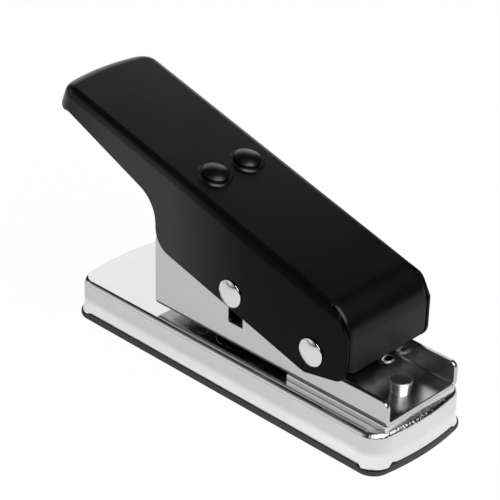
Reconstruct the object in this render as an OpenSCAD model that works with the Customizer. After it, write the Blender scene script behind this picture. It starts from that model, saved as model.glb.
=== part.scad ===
// Guitar pick punch: a chromed base with a card slot, a pick-shaped punch and die, and a black pressed lever.
// Millimetres. X runs from the lever's tail to the hinge end, Z is up.
// The origin is the middle of the base's outline on the surface it stands on.

/* [Base] */
// Length of the base over the bottom cover
base_l = 132; // [126:1:150]
// Width of the base over the bottom cover
base_w = 42; // [40:0.5:50]
// Radius of the base's corners, seen from above
base_corner_r = 6; // [4:0.5:9]
// Radius of the bowed ends, seen from above
end_bow_r = 90; // [70:5:140]
// Thickness of the bottom cover's floor
cover_floor = 1.2; // [1:0.1:1.8]
// Thickness of the bottom cover's lips
cover_lip_t = 0.9; // [0.7:0.1:1.2]
// Height of the lips above the surface
cover_lip_h = 3.2; // [2.6:0.1:4]
// Width of the dip in the lips at each corner
cover_dip_w = 8; // [6:0.5:10]
// Height of the tray's top above the surface
tray_top = 13.6; // [12.6:0.2:16]
// Sheet thickness of the tray
tray_sheet = 1.2; // [1:0.1:1.5]
// Radius of the tray's top edge
tray_edge_r = 2; // [1.5:0.25:2.5]

/* [Pick, punch and die] */
// Length of a pick
pick_l = 30; // [28:0.5:32]
// Width of a pick
pick_w = 26; // [24:0.5:28]
// Corner radius at the wide end of a pick
pick_shoulder_r = 6.5; // [5:0.25:7.5]
// Radius of a pick's tip
pick_tip_r = 3.2; // [2.5:0.1:4]
// Radius of a pick's long sides
pick_side_r = 34; // [28:1:45]
// Radius of a pick's wide end
pick_end_r = 30; // [24:1:40]
// Clearance round the punch in the guide and the die
punch_clear = 0.05; // [0.03:0.01:0.1]
// Height of the slot that takes the card
card_slot = 2; // [1.6:0.1:2.6]
// Distance that the punch is drawn up above the slot
punch_retract = 0.6; // [0.4:0.1:1]
// Thickness of the die plate under the tray's top
die_t = 3; // [2.5:0.25:4]
// Thickness of the punch guide on the frame's floor
guide_t = 3.5; // [3:0.25:4]
// Diameter of the rivets that hold the guide
guide_rivet_d = 2.4; // [2:0.1:3]

/* [Frame] */
// From the punch's side to the outside of the frame
frame_margin = 3; // [2.8:0.1:4]
// Sheet thickness of the frame
frame_sheet = 1.6; // [1.4:0.1:2]
// Outer radius of the frame's bent edges
frame_bend_r = 2.1; // [2:0.1:3]
// Length of the frame
frame_l = 95; // [92:1:100]
// From the frame's front end to the end of the base
frame_setback = 2.4; // [2:0.2:4]
// Height of the low front walls above the frame's underside
frame_front_h = 8.3; // [7.5:0.1:9.5]
// Height of the tall walls above the frame's underside
frame_wall_h = 28.5; // [27.5:0.5:30]
// Length of the plate that spaces the frame off the tray
spacer_l = 38.8; // [36:0.4:42]
// Diameter of the front stud's head
stud_d = 7; // [6:0.25:8]
// Height of the front stud's head
stud_h = 4.3; // [3.5:0.1:5]
// Diameter of the two low rivets' heads
low_rivet_d = 6; // [5:0.25:7]

/* [Lever] */
// Tilt of the lever at rest
rest_tilt = 15.35; // [14:0.05:17]
// Angle that the lever is pressed through
press_angle = 14; // [12:0.5:15]
// Sheet thickness of the lever
lever_sheet = 1.2; // [1:0.1:1.4]
// Radius of the lever's long top edges
lever_edge_r = 3; // [2.4:0.2:3.6]
// From the hinge to the tail's end
lever_tail = 118.2; // [112:0.2:124]
// Radius of the top edge at the tail
tail_edge_r = 4; // [3:0.1:4.5]
// Radius of the tail's bow, seen from above
tail_bow_r = 85; // [60:1:110]
// Radius of the tail's corners, seen from above
tail_corner_r = 7.5; // [6:0.5:9]
// Distance that the tail's end flares out at its lower edge
tail_flare = 1.1; // [0.5:0.1:1.5]
// From the hinge up to the lever's top
lever_rise = 19.2; // [18:0.1:21]
// From the hinge down to the lower edge of the skirts
lever_skirt = 8.5; // [8:0.1:9.5]
// From the hinge back to the heel, where the skirts end
lever_heel = 64.8; // [62:0.1:68]
// Radius of the bend that forms the front flap
flap_bend_r = 12; // [10:0.5:13]
// From the hinge forward to the flap, along the top
flap_reach = 8.5; // [8:0.1:9.5]
// Length of the flap below the top
flap_l = 18.5; // [16:0.25:20]
// Width of the slit between the flap and each skirt
flap_slit = 0.4; // [0.3:0.05:0.6]
// Length of the cut along the top where each skirt's front corner is taken off
skirt_cut_l = 4.2; // [3:0.1:5]
// Depth of the same cut, down the skirt's front edge
skirt_cut_h = 7; // [6:0.1:8]

/* [Pins and spring] */
// From the frame's front end back to the hinge
pivot_setback = 27.3; // [26:0.1:29]
// Height of the hinge above the tray's top
pivot_rise = 16.5; // [15.5:0.1:18]
// From the hinge back to the drive pin, along the lever
drive_back = 33.1; // [31:0.1:35]
// From the hinge down to the drive pin, square to the lever
drive_down = 3.4; // [2.5:0.1:4.2]
// Diameter of the hinge pin
pivot_d = 6; // [5:0.25:7]
// Diameter of the drive pin
drive_d = 5; // [4.5:0.25:5.25]
// Diameter of the domed heads of both pins
pin_head_d = 9; // [8.5:0.1:10.5]
// Height of the domed heads
pin_head_h = 1.5; // [1.3:0.1:2]
// Thickness of the washers between the lever and the frame
washer_t = 1.2; // [1:0.1:1.5]
// Radial running clearance of pins
pin_clear = 0.05; // [0.03:0.01:0.08]
// Side clearance of washers and heads
side_clear = 0.1; // [0.08:0.01:0.2]
// From the hinge back to the spring's rivets, along the lever
spring_back = 58.4; // [57:0.1:61]
// Distance between the spring's rivets
spring_rivet_gap = 13.6; // [12:0.2:15]
// Diameter of the spring rivets' domes
spring_dome_d = 8.6; // [8:0.2:10]
// Diameter of the collar under each dome
spring_collar_d = 11; // [10.2:0.2:12]
// Thickness of the leaf spring
leaf_t = 0.8; // [0.6:0.1:1]

/* [Hidden] */

CHROME = "gainsboro";
STEEL = "silver";
BLACK = "dimgray";
ROUND = 64;
ARC_STEPS = 10;
PAST = 0.5;

// Heights of the stack, from the surface up
frame_z = tray_top + card_slot;
floor_z = frame_z + frame_sheet;
guide_z = floor_z + guide_t;
front_wall_z = frame_z + frame_front_h;
wall_z = frame_z + frame_wall_h;
tray_in_z = tray_top - tray_sheet;
die_z = tray_in_z - die_t;

// Widths across the machine
frame_w = pick_w + 2 * frame_margin;
frame_in = frame_w - 2 * frame_sheet;
lever_in = frame_w + 2 * (washer_t + side_clear);
lever_w = lever_in + 2 * lever_sheet;
cover_gap = 0.15;
tray_inset = cover_lip_t - 0.3 + cover_gap;
tray_l = base_l - 2 * tray_inset;
tray_w = base_w - 2 * tray_inset;

// Stations along X
frame_front = base_l / 2 - frame_setback;
frame_rear = frame_front - frame_l;
spacer_setback = 0.4;
spacer_front = frame_front - spacer_setback;
pivot_x = frame_front - pivot_setback;
pivot_z = tray_top + pivot_rise;
stud_back = 8.3;
low_rivet_back = 23.4;
low_rivet_in = 3.6;
stud_x = frame_front - stud_back;
low_rivet_x = frame_front - low_rivet_back;
low_rivet_y = frame_in / 2 - low_rivet_in;

// Corners of the frame's walls, seen from the side
frame_boss_r = 7.5;
front_corner_r = 2.2;
frame_corner_r = 6;

// The drive pin swings about the hinge while the punch runs straight down
drive_r = sqrt(drive_back * drive_back + drive_down * drive_down);
drive_lift = rest_tilt - atan2(drive_down, drive_back);
drive_x = pivot_x - drive_r * cos(drive_lift);
drive_z = pivot_z + drive_r * sin(drive_lift);
drive_drop = drive_r * (sin(drive_lift) - sin(drive_lift - press_angle));
drive_sway = drive_r * (1 - cos(max(drive_lift, press_angle - drive_lift)));
run_x = pivot_x - drive_r + drive_sway / 2;
frame_slot_w = drive_d + drive_sway + 0.5;
frame_slot_low = drive_z - drive_drop - drive_d / 2 - 1.5;
frame_slot_high = drive_z + drive_d / 2 + 0.6;

// The punch stands on the drive pin's line
pick_front = run_x + pick_l / 2;
pick_rear = run_x - pick_l / 2;
punch_z = frame_z + punch_retract;
holder_wall = 2.4;
holder_low = drive_z - drive_d / 2 - holder_wall;
holder_high = drive_z + drive_d / 2 + holder_wall;
holder_l = 20;
holder_w = frame_in - 2 * side_clear - holder_wall;
holder_slot_clear = 0.1;
screw_x = 6.6;
screw_d = 3;
screw_head_d = 5.4;
screw_head_h = 2;
screw_depth = 6;

// Spring under the lever's top
lever_under = lever_rise - lever_sheet;
spring_shank_d = 4;
spring_tail_h = 1.2;
spring_collar_h = 0.5;
spring_dome_h = 2;
spring_dome_rim = 0.8;
leaf_w = spring_rivet_gap + 2 * spring_shank_d;
leaf_plate_l = 14;
leaf_bend_run = 4;
leaf_limb_run = 9;
leaf_limb_h = 18;
clamp_t = 1.2;
clamp_l = 8;

// Rivets and washers
rivet_tail = 2.5;
rivet_tail_h = 1.2;
low_rivet_h = 1.3;
low_rivet_rim = 0.3;
rivet_neck = 2;
pin_head_rim = 0.5;
pivot_washer_d = 11;
drive_washer_d = 9;
sleeve_d = 9;

// Corner point arithmetic
function unit(v) = v / norm(v);
function turn(a, b) = a[0] * b[1] - a[1] * b[0];

// The arc of radius r that rounds the corner b between a and c
function corner_arc(a, b, c, r) =
    let (u = unit(a - b), v = unit(c - b), half = acos(u * v) / 2)
    let (m = b + unit(u + v) * r / sin(half), p = b + u * r / tan(half))
    let (start = atan2(p[1] - m[1], p[0] - m[0]), sweep = (180 - 2 * half) * sign(turn(u, v)))
    [for (i = [0:ARC_STEPS]) let (t = start - sweep * i / ARC_STEPS) m + r * [cos(t), sin(t)]];

// An outline whose corners are given as [x, y, radius]
function rounded(corners) =
    let (n = len(corners), at = function (i) [corners[i % n][0], corners[i % n][1]])
    [for (i = [0:n - 1])
        each corners[i][2] > 0 ? corner_arc(at(i + n - 1), at(i), at(i + 1), corners[i][2]) : [at(i)]];

// A pick's outline, tip towards +X, from tangent arcs; grow moves every edge outwards
function arc_between(m, r, from, to) =
    [for (i = [0:ARC_STEPS]) let (t = from + (to - from) * i / ARC_STEPS) m + r * [cos(t), sin(t)]];
function angle_of(v) = atan2(v[1], v[0]);
function pick_outline(grow) =
    let (tip = [pick_l / 2 - pick_tip_r, 0])
    let (end_m = [pick_end_r - pick_l / 2, 0], end_gap = pick_end_r - pick_shoulder_r)
    let (shoulder_y = pick_w / 2 - pick_shoulder_r)
    let (shoulder = [end_m[0] - sqrt(end_gap * end_gap - shoulder_y * shoulder_y), shoulder_y])
    let (a = pick_side_r - pick_shoulder_r, b = pick_side_r - pick_tip_r, span = norm(tip - shoulder))
    let (along = unit(tip - shoulder), s = (a * a - b * b + span * span) / (2 * span))
    let (side_m = shoulder + along * s + sqrt(a * a - s * s) * [along[1], -along[0]])
    let (tip_t = angle_of(tip - side_m), side_t = angle_of(shoulder - side_m))
    let (end_t = 180 - asin(shoulder_y / end_gap))
    concat(arc_between(tip, pick_tip_r + grow, -tip_t, tip_t),
           arc_between(side_m, pick_side_r + grow, tip_t, side_t),
           arc_between(shoulder, pick_shoulder_r + grow, side_t, end_t),
           arc_between(end_m, pick_end_r + grow, end_t, 360 - end_t),
           arc_between([shoulder[0], -shoulder_y], pick_shoulder_r + grow, 360 - end_t, 360 - side_t),
           arc_between([side_m[0], -side_m[1]], pick_side_r + grow, 360 - side_t, 360 - tip_t));

// A solid with the pick's outline between two heights
module pick_solid(z0, z1, grow = 0)
    translate([run_x, 0, z0])
        linear_extrude(z1 - z0)
            polygon(pick_outline(grow));

// The base's outline: straight sides, bowed ends and corners tangent to both
module base_outline(inset) {
    r = base_corner_r - inset;
    bow = end_bow_r - inset;
    bow_x = base_l / 2 - end_bow_r;
    corner_y = base_w / 2 - base_corner_r;
    corner_x = bow_x + sqrt(pow(bow - r, 2) - corner_y * corner_y);
    touch = atan2(corner_y, corner_x - bow_x);
    square([2 * corner_x, base_w - 2 * inset], center = true);
    intersection() {
        translate([bow_x, 0])
            circle(bow, $fn = 6 * ROUND);
        translate([-bow_x, 0])
            circle(bow, $fn = 6 * ROUND);
        square([base_l, 2 * bow * sin(touch)], center = true);
    }
    for (x = [-corner_x, corner_x], y = [-corner_y, corner_y])
        translate([x, y])
            circle(r, $fn = ROUND);
}

// Carries children from the lever's own frame, hinge at the origin and top level, to the lever at rest
module at_lever()
    translate([pivot_x, 0, pivot_z])
        rotate([0, rest_tilt, 0])
            children();

// A profile in the XZ plane, swept across the machine
module across(width)
    rotate([90, 0, 0])
        linear_extrude(width, center = true)
            children();

// A round bar across the machine at x, z
module cross_bar(x, z, d, width)
    translate([x, 0, z])
        rotate([90, 0, 0])
            cylinder(h = width, d = d, center = true, $fn = ROUND);

// A low dome on a short cylinder, as a solid of revolution standing on z = 0
module domed_head(d, h, rim) {
    dome = h - rim;
    dome_r = (d * d / 4 + dome * dome) / (2 * dome);
    rotate_extrude($fn = ROUND) {
        square([d / 2, rim]);
        intersection() {
            translate([0, h - dome_r])
                circle(dome_r, $fn = 2 * ROUND);
            translate([0, rim])
                square([d / 2, dome]);
        }
    }
}

// A pin across the machine with a domed head at each end, heads starting at half_width
module headed_pin(x, z, d, half_width) {
    cross_bar(x, z, d, 2 * half_width);
    for (side = [-1, 1])
        translate([x, side * half_width, z])
            rotate([-90 * side, 0, 0])
                domed_head(pin_head_d, pin_head_h, pin_head_rim);
}

// A pair of washers outside the frame's walls, from y0 outwards
module washer_pair(x, z, hole, outer, y0)
    for (side = [0, 1])
        mirror([0, side, 0])
            translate([x, y0, z])
                rotate([-90, 0, 0])
                    difference() {
                        cylinder(h = washer_t, d = outer, $fn = ROUND);
                        translate([0, 0, -PAST])
                            cylinder(h = washer_t + 2 * PAST, d = hole, $fn = ROUND);
                    }

// Black cover that closes the base from below and keeps it from slipping
module bottom_cover() {
    dip_mid = -0.8;
    dip_low = cover_floor + 0.4;
    slope = 1.6;
    color("black")
    difference() {
        linear_extrude(cover_lip_h)
            base_outline(0);
        translate([0, 0, cover_floor])
            linear_extrude(cover_lip_h)
                base_outline(tray_inset - cover_gap);
        for (x = [0, 1], y = [0, 1])
            mirror([x, 0, 0])
                mirror([0, y, 0])
                    translate([base_l / 2 - base_corner_r, base_w / 2 - base_corner_r, 0])
                        rotate(45)
                            rotate([90, 0, 90])
                                linear_extrude(3 * base_corner_r)
                                    translate([-dip_mid, 0])
                                        polygon(rounded([
                                            [-cover_dip_w / 2, dip_low, 1], [cover_dip_w / 2, dip_low, 1],
                                            [cover_dip_w / 2 + slope, cover_lip_h + PAST, 0],
                                            [-cover_dip_w / 2 - slope, cover_lip_h + PAST, 0]]));
    }
}

// The base's outline as points: half of it from the middle of one bowed end to the other, then its turn
function base_points(inset) =
    let (r = base_corner_r - inset, bow = end_bow_r - inset, bow_x = base_l / 2 - end_bow_r)
    let (corner_y = base_w / 2 - base_corner_r, corner_x = bow_x + sqrt(pow(bow - r, 2) - pow(corner_y, 2)))
    let (touch = atan2(corner_y, corner_x - bow_x), n = 12)
    let (half = concat(
        [for (i = [-n:n]) let (t = touch * i / n) [bow_x + bow * cos(t), bow * sin(t)]],
        [for (i = [1:n]) let (t = touch + (90 - touch) * i / n)
            [corner_x + r * cos(t), corner_y + r * sin(t)]],
        [for (i = [0:n - 1]) let (t = 90 + (90 - touch) * i / n)
            [r * cos(t) - corner_x, corner_y + r * sin(t)]]))
    concat(half, -half);

// The tray's outside: the base's outline drawn in round its top edge, one quarter turn in steps
module tray_block() {
    steps = 6;
    thin = 0.01;
    hull() {
        translate([0, 0, cover_floor])
            linear_extrude(thin)
                polygon(base_points(tray_inset));
        for (i = [0:steps])
            let (turn = 90 * i / steps)
            translate([0, 0, tray_top - tray_edge_r * (1 - sin(turn)) - thin])
                linear_extrude(thin)
                    polygon(base_points(tray_inset + tray_edge_r * (1 - cos(turn))));
    }
}

// Chromed tray, pressed from sheet, with the hole that the pick drops through
module base_tray() color(CHROME)
    difference() {
        tray_block();
        translate([0, 0, cover_floor - PAST])
            linear_extrude(tray_in_z - cover_floor + PAST)
                base_outline(tray_inset + tray_sheet);
        pick_solid(tray_in_z - PAST, tray_top + PAST, 0.4);
        stack_holes();
    }

// Holes for the three rivets that hold frame, spacer, tray and die together
module stack_holes() {
    translate([stud_x, 0, die_z - PAST])
        cylinder(h = floor_z - die_z + 2 * PAST, d = stud_d - rivet_neck + 2 * pin_clear, $fn = ROUND);
    for (y = [-low_rivet_y, low_rivet_y])
        translate([low_rivet_x, y, die_z - PAST])
            cylinder(h = floor_z - die_z + 2 * PAST, d = low_rivet_d - rivet_neck + 2 * pin_clear,
                     $fn = ROUND);
}

// Hardened plate under the tray's top, whose edge cuts the pick
module die_plate() color(STEEL)
    difference() {
        die_margin = 8;
        translate([pick_rear - die_margin, -frame_w / 2 + 1, die_z])
            cube([spacer_front - 3 - pick_rear + die_margin, frame_w - 2, die_t]);
        pick_solid(die_z - PAST, tray_in_z + PAST, punch_clear);
        stack_holes();
    }

// Plate that holds the frame off the tray and so makes the card slot
module spacer_plate() color(CHROME)
    difference() {
        translate([spacer_front - spacer_l, -frame_w / 2 + 0.4, tray_top])
            cube([spacer_l, frame_w - 0.8, card_slot]);
        stack_holes();
    }

// Outline of the frame's walls, seen from the side
function wall_outline() =
    let (boss = frame_boss_r)
    rounded([[frame_rear, frame_z, frame_bend_r - 0.6], [frame_front, frame_z, 0],
             [frame_front, front_wall_z, front_corner_r], [pivot_x + boss, front_wall_z, 2.5],
             [pivot_x + boss, pivot_z + boss, boss - 0.1], [run_x + frame_slot_w, wall_z, 2 * frame_corner_r],
             [frame_rear, wall_z, frame_corner_r]]);

// Chromed channel bent from sheet, open at the top, between whose walls the punch runs
module channel_frame() color(CHROME)
    difference() {
        intersection() {
            translate([frame_rear, 0, frame_z])
                rotate([90, 0, 90])
                    linear_extrude(frame_l)
                        channel_section();
            across(frame_w + 2)
                polygon(wall_outline());
        }
        cross_bar(pivot_x, pivot_z, pivot_d + 2 * pin_clear, frame_w + 2);
        translate([run_x - frame_slot_w / 2, -frame_w / 2 - 1, frame_slot_low])
            cube([frame_slot_w, frame_w + 2, frame_slot_high - frame_slot_low]);
        pick_solid(frame_z - PAST, floor_z + PAST, punch_clear);
        stack_holes();
        guide_holes();
    }

// The channel's cross-section, with rounded bends
module channel_section() {
    inner_r = frame_bend_r - frame_sheet;
    difference() {
        bent_block(frame_w, frame_wall_h, frame_bend_r);
        translate([0, frame_sheet])
            bent_block(frame_in, frame_wall_h, inner_r);
    }
}

module bent_block(w, h, r) {
    translate([-w / 2, r])
        square([w, h - r]);
    translate([-w / 2 + r, 0])
        square([w - 2 * r, h]);
    for (side = [-1, 1])
        translate([side * (w / 2 - r), r])
            circle(r, $fn = ROUND);
}

// Places of the four rivets at the corners of the punch guide
guide_l = pick_l + 10;
guide_w = frame_in - 2 * side_clear;
function guide_spots() =
    [for (x = [-1, 1], y = [-1, 1])
        [run_x + x * (guide_l / 2 - guide_rivet_d), y * (guide_w / 2 - guide_rivet_d)]];

module guide_holes()
    for (p = guide_spots())
        translate([p[0], p[1], frame_z - PAST])
            cylinder(h = guide_z - frame_z + 2 * PAST, d = guide_rivet_d + 0.04, $fn = ROUND);

// Block on the frame's floor whose hole keeps the punch in line with the die
module punch_guide() color(STEEL)
    difference() {
        bend_clear = 0.6;
        translate([run_x - guide_l / 2, 0, floor_z])
            rotate([90, 0, 90])
                linear_extrude(guide_l)
                    polygon([[-guide_w / 2 + bend_clear, 0], [guide_w / 2 - bend_clear, 0],
                             [guide_w / 2, bend_clear], [guide_w / 2, guide_t],
                             [-guide_w / 2, guide_t], [-guide_w / 2, bend_clear]]);
        pick_solid(floor_z - PAST, guide_z + PAST, punch_clear);
        guide_holes();
    }

// Flush rivets that hold the guide on the frame's floor
module guide_rivets() color(STEEL)
    for (p = guide_spots())
        translate([p[0], p[1], frame_z])
            cylinder(h = guide_z - frame_z, d = guide_rivet_d, $fn = ROUND);

// A rivet through the whole stack; its head is drawn by the caller
module stack_shank(x, y, d) {
    translate([x, y, die_z])
        cylinder(h = floor_z - die_z, d = d, $fn = ROUND);
    translate([x, y, die_z - rivet_tail_h])
        cylinder(h = rivet_tail_h, d1 = d + rivet_tail / 2, d2 = d + rivet_tail, $fn = ROUND);
}

// Tall stud at the front of the frame, spread a little at its top
module front_stud() color(CHROME) {
    stack_shank(stud_x, 0, stud_d - rivet_neck);
    translate([stud_x, 0, floor_z])
        rotate_extrude($fn = ROUND)
            polygon(rounded([[0, 0, 0], [stud_d / 2 - 0.5, 0, 0], [stud_d / 2 - 0.35, stud_h * 0.6, 3],
                             [stud_d / 2, stud_h - 0.3, 0.2], [stud_d / 2 - 0.3, stud_h, 0.2],
                             [0, stud_h - 0.15, 0]]));
}

// Two low rivets behind the stud
module low_rivets() color(CHROME)
    for (y = [-low_rivet_y, low_rivet_y]) {
        stack_shank(low_rivet_x, y, low_rivet_d - rivet_neck);
        translate([low_rivet_x, y, floor_z])
            domed_head(low_rivet_d, low_rivet_h, low_rivet_rim);
    }

// Hinge pin, held by its two domed heads outside the lever
module pivot_pin() color(CHROME)
    headed_pin(pivot_x, pivot_z, pivot_d, lever_w / 2 + side_clear);

// Tube round the hinge pin that keeps the frame's walls apart
module pivot_sleeve() color(STEEL)
    difference() {
        cross_bar(pivot_x, pivot_z, sleeve_d, frame_in);
        cross_bar(pivot_x, pivot_z, pivot_d + 2 * pin_clear, frame_in + 1);
    }

module pivot_washers() color(STEEL)
    washer_pair(pivot_x, pivot_z, pivot_d + 2 * pin_clear, pivot_washer_d, frame_w / 2);

// Lever seen from the side, in its own frame: skirts, heel, tail and front edge
flap_dir = [sin(rest_tilt), -cos(rest_tilt)];
flap_top = [flap_reach, lever_rise];
toe_drop = 2.6;
toe_r = 5;
toe = flap_top + flap_dir * (flap_l + toe_drop);
belly = -0.5;
belly_r = 3;
heel_r = 7.5;
tail_h = 8.6;
shoulder_run = 4.6;
shoulder_drop = 13.6;
shoulder_r = 11;
shoulder = [-lever_heel - shoulder_run, lever_rise - shoulder_drop];
tail_bead = 7;
tail_low = lever_rise - tail_h;
tail_past = lever_tail + 2 * tail_flare;

function lever_outline() =
    rounded([[-tail_past, lever_rise, 0], [flap_top[0], flap_top[1], flap_bend_r],
             [toe[0], toe[1], toe_r], [belly, -lever_skirt, belly_r], [-lever_heel, -lever_skirt, heel_r],
             [shoulder[0], shoulder[1], shoulder_r], [-lever_tail + tail_bead, tail_low + 0.9, 3],
             [-lever_tail + tail_bead - 2.5, tail_low, 2], [-tail_past, tail_low, 0]]);

// Corner taken off each skirt beside the flap's bend
skirt_cut_low = flap_top + flap_dir * skirt_cut_h;
skirt_cut_past = 6;

function skirt_cut() =
    let (x = flap_reach - skirt_cut_l, high = lever_rise + skirt_cut_past)
    let (out = skirt_cut_low[0] + skirt_cut_past)
    [[x, high], [x, lever_rise - lever_sheet / 2], skirt_cut_low, [out, skirt_cut_low[1]], [out, high]];

// The hollow inside the lever, open below, kept one sheet inside the outline
function lever_hollow() =
    let (deep = -2 * lever_skirt, s = lever_sheet)
    let (bend = (90 - rest_tilt) / 2, corner = flap_top + [-s * tan(bend), -s])
    let (low = corner + flap_dir * (corner[1] - deep) / cos(rest_tilt))
    rounded([[-tail_past, lever_rise - s, 0], [corner[0], corner[1], flap_bend_r - s],
             [low[0], low[1], 0], [-tail_past, deep, 0]]);

// Lever seen along its length: a block with rounded top edges
module lever_section(w, top, r) {
    low = -3 * lever_skirt;
    translate([-w / 2, low])
        square([w, top - r - low]);
    translate([-w / 2 + r, low])
        square([w - 2 * r, top - low]);
    for (side = [-1, 1])
        translate([side * (w / 2 - r), top - r])
            circle(r, $fn = ROUND);
}

// Lever seen from above: straight sides, a bowed tail and rounded tail corners
module lever_plan(w, tail, r) {
    bow_r = tail_bow_r - lever_tail - tail_flare + tail;
    bow_x = -tail + bow_r;
    corner_y = w / 2 - r;
    corner_x = bow_x - sqrt(pow(bow_r - r, 2) - corner_y * corner_y);
    touch = asin(corner_y / (bow_r - r));
    front = 2 * flap_bend_r;
    translate([corner_x, -w / 2])
        square([front - corner_x, w]);
    intersection() {
        translate([bow_x, 0])
            circle(bow_r, $fn = 2 * ROUND);
        translate([-tail - 1, -bow_r * sin(touch)])
            square([tail_bow_r, 2 * bow_r * sin(touch)]);
    }
    for (side = [-1, 1])
        translate([corner_x, side * corner_y])
            circle(r, $fn = ROUND);
}

// The tail's end: a bowed face that flares towards its lower edge under a rounded top edge
module lever_end(inset, top) {
    r = tail_bow_r - inset;
    low = -4 * lever_skirt;
    spread = tail_flare * (top - low) / tail_h;
    translate([tail_bow_r - lever_tail, 0, 0]) {
        rotate_extrude($fn = 4 * ROUND)
            polygon(rounded([[0, low, 0], [r + spread, low, 0], [r, top, tail_edge_r - inset], [0, top, 0]]));
        translate([0, -lever_w, low])
            cube([lever_tail, 2 * lever_w, top - low]);
    }
}

// The part of space inside a side view, a section, a plan and the tail's end
module lever_form(outline, inset) {
    w = lever_w - 2 * inset;
    top = lever_rise - inset;
    reach = lever_tail + 40;
    intersection() {
        lever_end(inset, top);
        across(lever_w + 2)
            polygon(outline);
        translate([-lever_tail - 10, 0, 0])
            rotate([90, 0, 90])
                linear_extrude(reach)
                    lever_section(w, top, lever_edge_r - inset);
        translate([0, 0, -4 * lever_skirt])
            linear_extrude(8 * lever_skirt)
                lever_plan(w, lever_tail + tail_flare - inset, tail_corner_r - inset);
    }
}

// Pressed black lever: top, skirts, tail and front flap
module lever_shell() color(BLACK)
    at_lever()
        difference() {
            flap_low = flap_top + flap_dir * flap_l;
            lever_form(lever_outline(), 0);
            lever_form(lever_hollow(), lever_sheet);
            translate([flap_low[0], 0, flap_low[1]])
                rotate([0, -rest_tilt, 0])
                    translate([-4, -lever_in / 2, -20])
                        cube([10, lever_in, 20]);
            for (side = [-1, 1])
                translate([1, side * (lever_in - flap_slit) / 2 - flap_slit / 2, -4])
                    cube([20, flap_slit, lever_rise + 5]);
            for (side = [-1, 1])
                translate([0, side * (lever_w - flap_slit) / 2, 0])
                    across(2 * lever_sheet + flap_slit)
                        polygon(skirt_cut());
            cross_bar(0, 0, pivot_d + 2 * pin_clear, lever_w + 2);
            cross_bar(-drive_back, -drive_down, drive_d, lever_w + 2);
            for (y = [-spring_rivet_gap / 2, spring_rivet_gap / 2])
                translate([-spring_back, y, lever_under - PAST])
                    cylinder(h = lever_sheet + 2 * PAST, d = spring_shank_d, $fn = ROUND);
        }

// Pin that drives the punch, held in the lever and running in the frame's slots
module drive_pin() color(CHROME)
    headed_pin(drive_x, drive_z, drive_d, lever_w / 2);

module drive_washers() color(STEEL)
    washer_pair(drive_x, drive_z, drive_d + pin_clear, drive_washer_d, frame_w / 2 + side_clear);

// Two black rivets side by side that hold the spring under the lever's top
module spring_rivets() color(BLACK)
    at_lever()
        for (y = [-spring_rivet_gap / 2, spring_rivet_gap / 2])
            translate([-spring_back, y, 0]) {
                low = lever_under - leaf_t - clamp_t;
                translate([0, 0, low])
                    cylinder(h = lever_rise - low, d = spring_shank_d, $fn = ROUND);
                translate([0, 0, low - spring_tail_h])
                    cylinder(h = spring_tail_h, d1 = spring_shank_d + rivet_tail / 2,
                             d2 = spring_shank_d + rivet_tail, $fn = ROUND);
                translate([0, 0, lever_rise]) {
                    cylinder(h = spring_collar_h, d1 = spring_collar_d,
                             d2 = spring_collar_d - 2 * spring_collar_h, $fn = ROUND);
                    translate([0, 0, spring_collar_h])
                        domed_head(spring_dome_d, spring_dome_h, spring_dome_rim);
                }
            }

// Holes for the spring's rivets through the pieces under the lever
module spring_holes()
    for (y = [-spring_rivet_gap / 2, spring_rivet_gap / 2])
        translate([-spring_back, y, lever_under - leaf_t - clamp_t - PAST])
            cylinder(h = leaf_t + clamp_t + 2 * PAST, d = spring_shank_d, $fn = ROUND);

// Strip under the spring that spreads the rivets' hold
module spring_clamp() color(STEEL)
    at_lever()
        difference() {
            translate([-spring_back - clamp_l / 2, -leaf_w / 2, lever_under - leaf_t - clamp_t])
                cube([clamp_l, leaf_w, clamp_t]);
            spring_holes();
        }

// Path of the leaf spring in the XZ plane, in the lever's frame: plate, bend, limb and foot
leaf_bend_r = 5;
leaf_top = lever_under - leaf_t / 2;
leaf_foot_r = 2.5;

// A point of the world's XZ plane, seen in the lever's frame
function in_lever(p) =
    let (d = p - [pivot_x, pivot_z])
    [d[0] * cos(rest_tilt) - d[1] * sin(rest_tilt), d[0] * sin(rest_tilt) + d[1] * cos(rest_tilt)];

leaf_foot = in_lever([run_x - guide_l / 2 - 7, floor_z + 0.1 + leaf_t / 2]);
leaf_back = -spring_back - leaf_plate_l / 2 - leaf_bend_run;
leaf_knee = [leaf_back + leaf_limb_run, leaf_foot[1] + leaf_limb_h];

function leaf_path() =
    rounded([[-spring_back + leaf_plate_l / 2, leaf_top, 0], [leaf_back, leaf_top, leaf_bend_r],
             [leaf_knee[0], leaf_knee[1], 14], [leaf_foot[0], leaf_foot[1], leaf_foot_r],
             [leaf_foot[0] + 4, leaf_foot[1] + 3.4, 0]]);

module leaf_spring() color(STEEL)
    at_lever()
        difference() {
            across(leaf_w)
                ribbon(leaf_path(), leaf_t);
            spring_holes();
        }

// A strip of even thickness along a path
module ribbon(path, t) {
    n = len(path);
    side = [for (i = [0:n - 1])
        let (d = unit(path[min(i + 1, n - 1)] - path[max(i - 1, 0)]))
        t / 2 * [-d[1], d[0]]];
    polygon(concat([for (i = [0:n - 1]) path[i] + side[i]],
                   [for (i = [n - 1:-1:0]) path[i] - side[i]]));
}

// Pick-shaped punch
module punch_block() color(STEEL)
    difference() {
        pick_solid(punch_z, holder_low);
        for (x = [-screw_x, screw_x])
            translate([run_x + x, 0, holder_low - screw_depth])
                cylinder(h = screw_depth + PAST, d = screw_d, $fn = ROUND);
    }

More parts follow.
